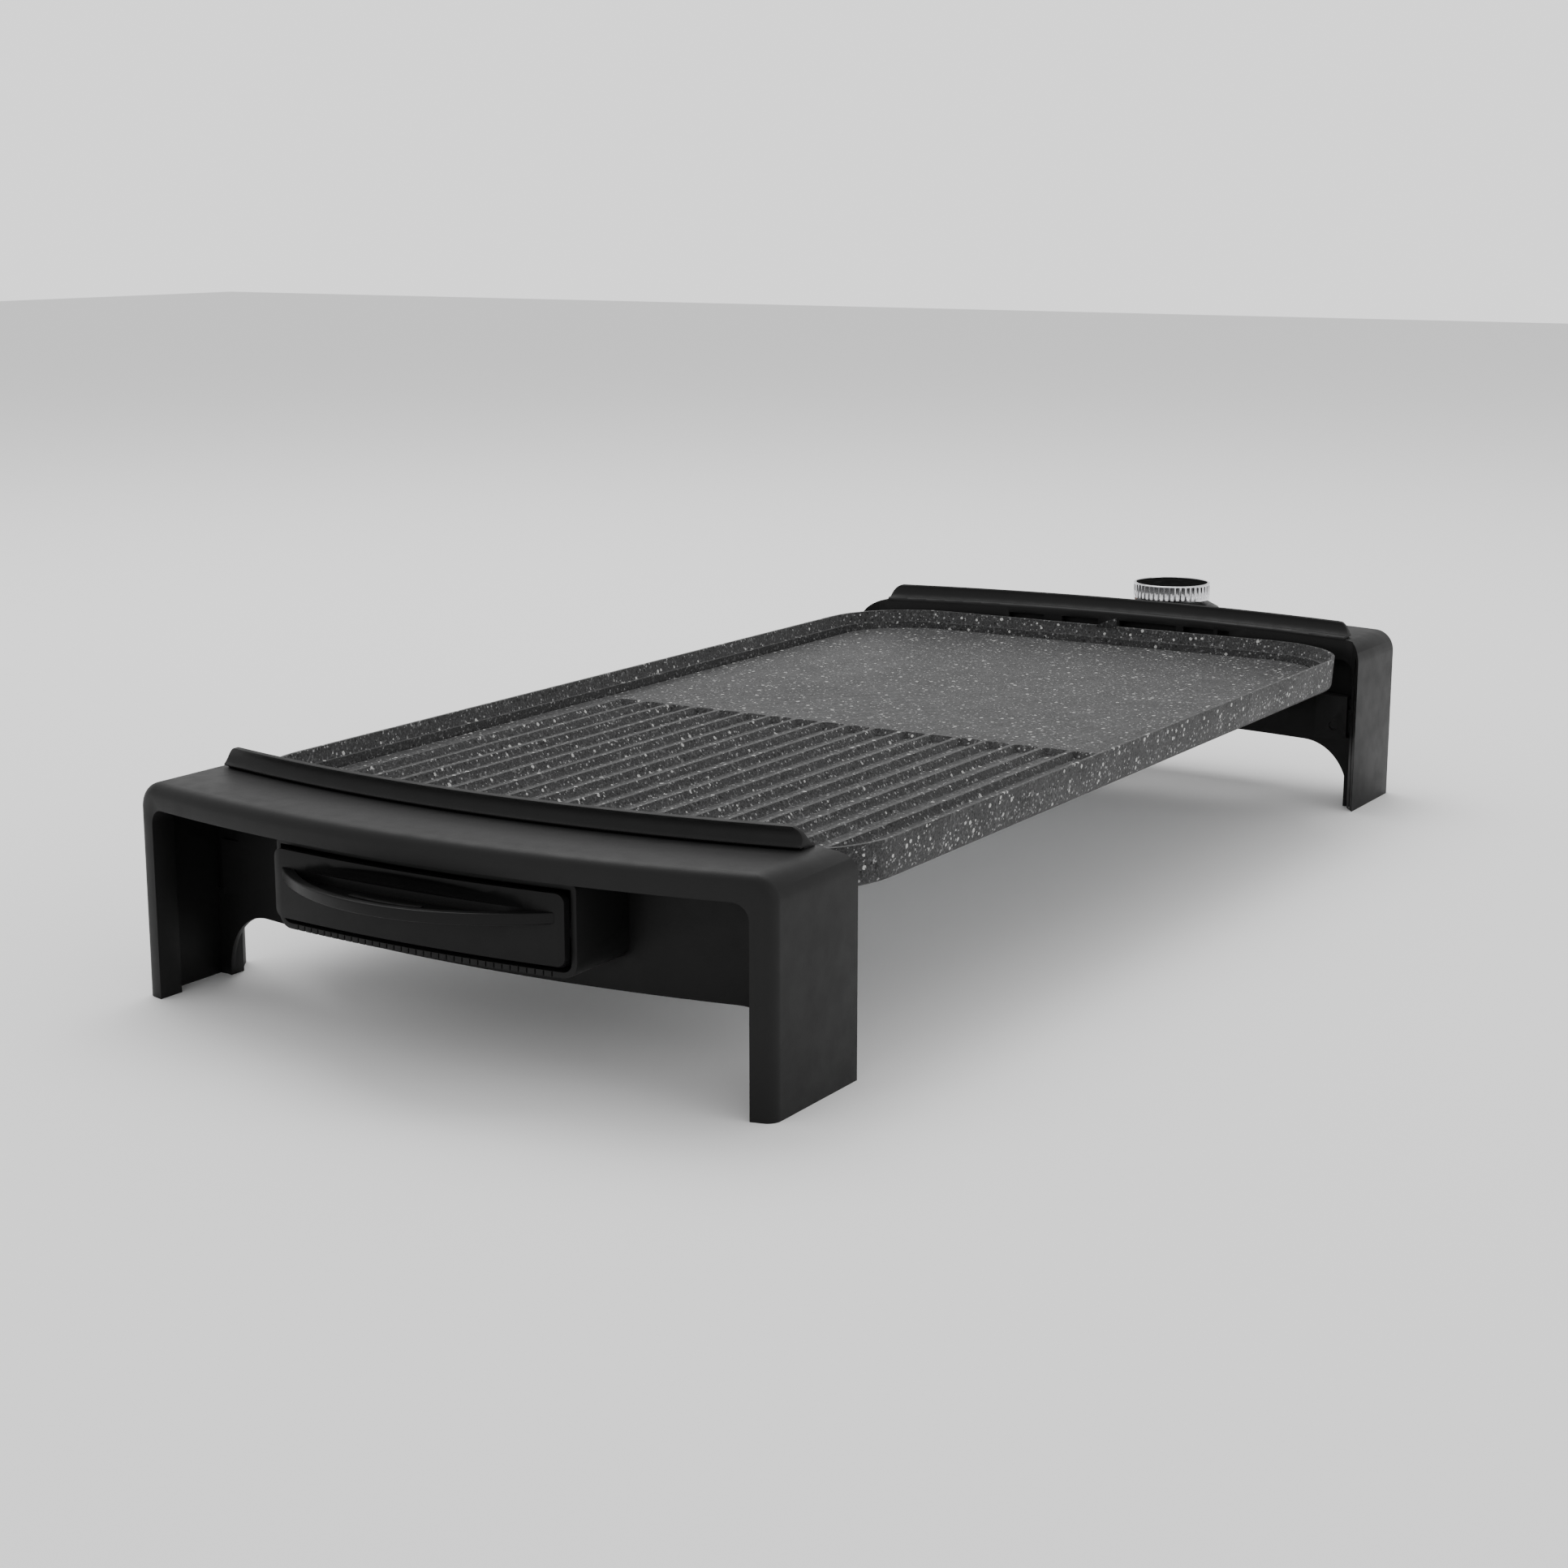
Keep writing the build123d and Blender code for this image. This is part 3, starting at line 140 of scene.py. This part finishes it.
# ---- materials ----------------------------------------------------------
def moulded(name, dark, light, rough, grain=0.45 * MM, depth=0.03 * MM, specular=0.5):
    """Spark-eroded moulded plastic: fine grain, a little uneven in tone and gloss."""
    m = Nodes(name, rough)
    m.shader.inputs["Specular IOR Level"].default_value = specular
    cloud = m.ramp(m.noise(60 * MM, 2), 0.3, 0.7)
    fine = m.noise(grain, 2)
    tone = m.math("ADD", m.math("MULTIPLY", cloud, 0.6), m.math("MULTIPLY", fine, 0.4))
    m.into(m.blend(tone, dark, light), "Base Color")
    scuffs = m.ramp(m.noise(9 * MM, 4), 0.35, 0.7, rough - 0.03, rough + 0.04)
    m.into(scuffs, "Roughness")
    m.bump(fine, depth)
    return m.material


def stone_coating(name):
    """Non-stick coating: dark grey grain under pale specks of several sizes."""
    m = Nodes(name, 0.45)
    m.shader.inputs["Specular IOR Level"].default_value = 0.18
    grain = m.ramp(m.noise(0.8 * MM, 4), 0.38, 0.66)
    base = m.blend(grain, (0.015, 0.015, 0.015), (0.048, 0.048, 0.049))
    streaks = m.ramp(m.noise(1.7 * MM, 3), 0.56, 0.70)
    base = m.blend(m.math("MULTIPLY", streaks, 0.55), base, (0.17, 0.17, 0.17))
    # Each row: spacing, reach of a speck in its cell, share of cells with one, colour.
    for size, reach, share, colour in (
            (1.5 * MM, 0.26, 0.26, (0.24, 0.24, 0.24)),
            (3.2 * MM, 0.19, 0.27, (0.40, 0.40, 0.39)),
            (2.2 * MM, 0.24, 0.30, (0.008, 0.008, 0.008))):
        texture = m.new("ShaderNodeTexVoronoi")
        texture.inputs["Scale"].default_value = 1 / size
        wobble = m.new("ShaderNodeVectorMath")
        wobble.operation = "MULTIPLY_ADD"
        shift = m.new("ShaderNodeTexNoise")
        shift.inputs["Scale"].default_value = 1 / (1.1 * MM)
        m.link(m.place, shift.inputs["Vector"])
        m.link(shift.outputs["Color"], wobble.inputs[0])
        wobble.inputs[1].default_value = (0.9 * MM,) * 3
        m.link(m.place, wobble.inputs[2])
        m.link(wobble.outputs["Vector"], texture.inputs["Vector"])
        chosen = m.new("ShaderNodeSeparateColor")
        m.link(texture.outputs["Color"], chosen.inputs["Color"])
        picked = m.math("LESS_THAN", chosen.outputs["Red"], share)
        grown = m.ramp(chosen.outputs["Green"], 0, 1, reach * 0.5, reach * 1.6)
        inside = m.math("LESS_THAN", texture.outputs["Distance"], grown)
        base = m.blend(m.math("MULTIPLY", picked, inside), base, colour)
    m.into(base, "Base Color")
    m.into(m.ramp(m.noise(14 * MM, 4), 0.3, 0.7, 0.42, 0.54), "Roughness")
    m.bump(m.noise(0.9 * MM, 3), 0.05 * MM)
    return m.material


def metal(name, colour, rough, brushed=(1, 1, 1), grain=1.2 * MM, spread=0.12, depth=0.01 * MM):
    """Bare or plated metal, with streaks along its brushed direction."""
    m = Nodes(name, rough, 1.0)
    streaks = m.noise(grain, 4, brushed)
    darker = tuple(c * 0.78 for c in colour)
    m.into(m.blend(streaks, darker, colour), "Base Color")
    m.into(m.ramp(streaks, 0.3, 0.7, max(rough - spread / 2, 0.03), rough + spread / 2), "Roughness")
    m.bump(streaks, depth)
    return m.material


def smooth_plastic(name, colour, rough, through=0.0, specular=0.5):
    """Glossy moulding with very faint waviness and dust."""
    m = Nodes(name, rough)
    m.shader.inputs["Transmission Weight"].default_value = through
    m.shader.inputs["Specular IOR Level"].default_value = specular
    dust = m.ramp(m.noise(5 * MM, 5), 0.45, 0.75)
    paler = tuple(min(c * 1.25 + 0.004, 1) for c in colour)
    m.into(m.blend(dust, colour, paler), "Base Color")
    m.into(m.ramp(dust, 0, 1, rough, rough + 0.08), "Roughness")
    m.bump(m.noise(12 * MM, 1), 0.02 * MM)
    return m.material


def woven_sleeve(name):
    """Glass-fibre sleeve of a heat-proof wire."""
    m = Nodes(name, 0.8)
    weave = m.noise(0.6 * MM, 1)
    m.into(m.blend(weave, (0.55, 0.52, 0.42), (0.80, 0.78, 0.68)), "Base Color")
    m.bump(weave, 0.1 * MM)
    return m.material


finishes = {
    "moulded_black": moulded(
        "fine_matt_black", (0.0085, 0.0085, 0.0085), (0.0105, 0.0105, 0.0105), 0.50, specular=0.16),
    "drawer_black": moulded(
        "satin_black", (0.0045, 0.0045, 0.0045), (0.006, 0.006, 0.006), 0.40, specular=0.14),
    "tray_enamel": smooth_plastic("black_enamel", (0.012, 0.012, 0.013), 0.35),
    "stone_coating": stone_coating("speckled_coating"),
    "element_sheath": metal("oxidised_sheath", (0.22, 0.20, 0.17), 0.5),
    "sheet_steel": metal("zinc_sheet", (0.56, 0.57, 0.58), 0.38, grain=6 * MM),
    "black_screw": metal("black_oxide", (0.03, 0.03, 0.03), 0.5),
    "zinc_screw": metal("zinc_screw_plate", (0.62, 0.62, 0.64), 0.30),
    "ceramic": smooth_plastic("white_ceramic", (0.76, 0.74, 0.68), 0.45),
    "copper": metal("drawn_copper", (0.75, 0.42, 0.28), 0.30, (1, 0.1, 1)),
    "nickel": metal("nickel_plate", (0.66, 0.63, 0.57), 0.28),
    "brass": metal("turned_brass", (0.78, 0.60, 0.30), 0.30),
    "thermostat_case": smooth_plastic("phenolic_case", (0.33, 0.27, 0.19), 0.5),
    "knob_chrome": metal("fluted_chrome", (0.80, 0.80, 0.82), 0.14, (1, 1, 0.1), 2 * MM, 0.05, 0.002 * MM),
    "knob_gloss": smooth_plastic("gloss_black", (0.006, 0.006, 0.006), 0.30, specular=0.0),
    "knob_core": moulded("hub_black", (0.02, 0.02, 0.02), (0.03, 0.03, 0.03), 0.5),
    "lens_amber": smooth_plastic("amber_lens", (0.75, 0.20, 0.02), 0.12, 0.6),
    "lamp_glass": smooth_plastic("lamp_glass", (0.9, 0.75, 0.6), 0.08, 0.8),
    "cord_rubber": moulded("bush_rubber", (0.012, 0.012, 0.012), (0.02, 0.02, 0.02), 0.62),
    "clamp_nylon": moulded("clamp_nylon", (0.06, 0.06, 0.06), (0.09, 0.09, 0.09), 0.45),
    "wire_sleeve": woven_sleeve("wire_sleeve"),
}

slot_of = {s["node"]: s["material_slot"] for s in frame["record"]["subparts"]}
for node, obj in frame["nodes"].items():
    for i in range(len(obj.material_slots)):
        obj.material_slots[i].material = finishes[slot_of[node]]


# ---- softened copies of CAD nodes ---------------------------------------
def stand_for(piece, node):
    """Dress a piece and let it take the place of a CAD node."""
    piece.data.materials.clear()
    piece.data.materials.append(finishes[slot_of[node]])
    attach(piece, frame["nodes"][node]["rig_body"])
    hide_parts(node)


WELD = 0.004 * MM            # vertices closer than this are one
FLAT_ANGLE = math.radians(0.3)
SHARP_ANGLE = math.radians(28)   # edges sharper than this are eased
SMOOTH_ANGLE = math.radians(32)


def softened(node, width):
    """The node's shape with every sharp edge eased, as a moulding or casting has it."""
    mesh = frame["nodes"][node].data.copy()
    mesh.name = node + "_soft"
    bm = bmesh.new()
    bm.from_mesh(mesh)
    bmesh.ops.remove_doubles(bm, verts=bm.verts, dist=WELD)
    bmesh.ops.dissolve_limit(bm, angle_limit=FLAT_ANGLE, verts=bm.verts, edges=bm.edges)
    bm.to_mesh(mesh)
    bm.free()
    piece = bpy.data.objects.new(node + "_soft", mesh)
    bpy.context.scene.collection.objects.link(piece)
    bevel = piece.modifiers.new("ease", "BEVEL")
    bevel.width = width
    bevel.segments = 2
    bevel.limit_method = "ANGLE"
    bevel.angle_limit = SHARP_ANGLE
    bevel.use_clamp_overlap = True
    bpy.context.view_layer.objects.active = piece
    bpy.ops.object.select_all(action="DESELECT")
    piece.select_set(True)
    bpy.ops.object.modifier_apply(modifier="ease")
    bpy.ops.object.shade_smooth_by_angle(angle=SMOOTH_ANGLE)
    stand_for(piece, node)


for node, width in (("front_bridge", 0.5 * MM), ("rear_bridge", 0.5 * MM),
                    ("front_splash_lip", 0.4 * MM), ("rear_splash_lip", 0.4 * MM),
                    ("front_web", 0.4 * MM), ("rear_web", 0.4 * MM),
                    ("cooking_plate", 0.6 * MM),
                    ("drawer_fascia", 0.6 * MM), ("drawer_handle", 0.45 * MM),
                    ("drawer_housing", 0.25 * MM), ("drip_tray", 0.3 * MM),
                    ("control_housing", 0.3 * MM), ("knob_ring", 0.18 * MM),
                    ("knob_bezel", 0.35 * MM)):
    softened(node, width)

# ---- floor, light and camera --------------------------------------------
FLOOR_HALF = 6.0
FLOOR_CORNERS = [(-1, -1), (1, -1), (1, 1), (-1, 1)]
LIGHTING, BACKDROP = 0.95, 1.5   # world as the object sees it, and as the camera sees it

floor_mesh = bpy.data.meshes.new("floor")
floor_mesh.from_pydata([(x * FLOOR_HALF, y * FLOOR_HALF, 0) for x, y in FLOOR_CORNERS], [], [(0, 1, 2, 3)])
floor = bpy.data.objects.new("floor", floor_mesh)
bpy.context.scene.collection.objects.link(floor)
paper = bpy.data.materials.new("pale_floor")
paper.use_nodes = True
paper_shader = paper.node_tree.nodes["Principled BSDF"]
paper_shader.inputs["Base Color"].default_value = (0.93, 0.93, 0.93, 1)
paper_shader.inputs["Roughness"].default_value = 0.9
floor.data.materials.append(paper)

world = bpy.data.worlds.new("studio")
world.use_nodes = True
tree = world.node_tree
sky = tree.nodes["Background"]
sky.inputs["Color"].default_value = (1, 1, 1, 1)
sky.inputs["Strength"].default_value = LIGHTING
backdrop = tree.nodes.new("ShaderNodeBackground")
backdrop.inputs["Color"].default_value = (1, 1, 1, 1)
backdrop.inputs["Strength"].default_value = BACKDROP
path = tree.nodes.new("ShaderNodeLightPath")
either = tree.nodes.new("ShaderNodeMixShader")
tree.links.new(path.outputs["Is Camera Ray"], either.inputs["Fac"])
tree.links.new(sky.outputs["Background"], either.inputs[1])
tree.links.new(backdrop.outputs["Background"], either.inputs[2])
tree.links.new(either.outputs["Shader"], tree.nodes["World Output"].inputs["Surface"])
bpy.context.scene.world = world


def softbox(name, place, aim, size, power):
    """Rectangular lamp turned towards a point."""
    data = bpy.data.lights.new(name, "AREA")
    data.shape = "RECTANGLE"
    data.size, data.size_y = size
    data.energy = power
    lamp = bpy.data.objects.new(name, data)
    lamp.location = place
    lamp.rotation_euler = (Vector(aim) - Vector(place)).to_track_quat("-Z", "Y").to_euler()
    bpy.context.scene.collection.objects.link(lamp)


softbox("top_light", (-0.7, 0.7, 2.0), (0, 0.1, 0), (1.8, 1.4), 34)
softbox("side_fill", (2.2, -0.2, 0.9), (0, 0, 0.05), (1.4, 1.0), 6.5)
softbox("front_fill", (-0.3, -2.4, 0.9), (0, 0, 0.05), (1.4, 1.0), 3)

camera_data = bpy.data.cameras.new("camera")
camera_data.lens = 61.70
camera_data.sensor_width = 36.0
camera = bpy.data.objects.new("camera", camera_data)
camera.location = (0.6220, -1.06894, 0.31683)
camera.rotation_euler = (math.radians(77.706), 0, math.radians(31.680))
bpy.context.scene.collection.objects.link(camera)
bpy.context.scene.camera = camera
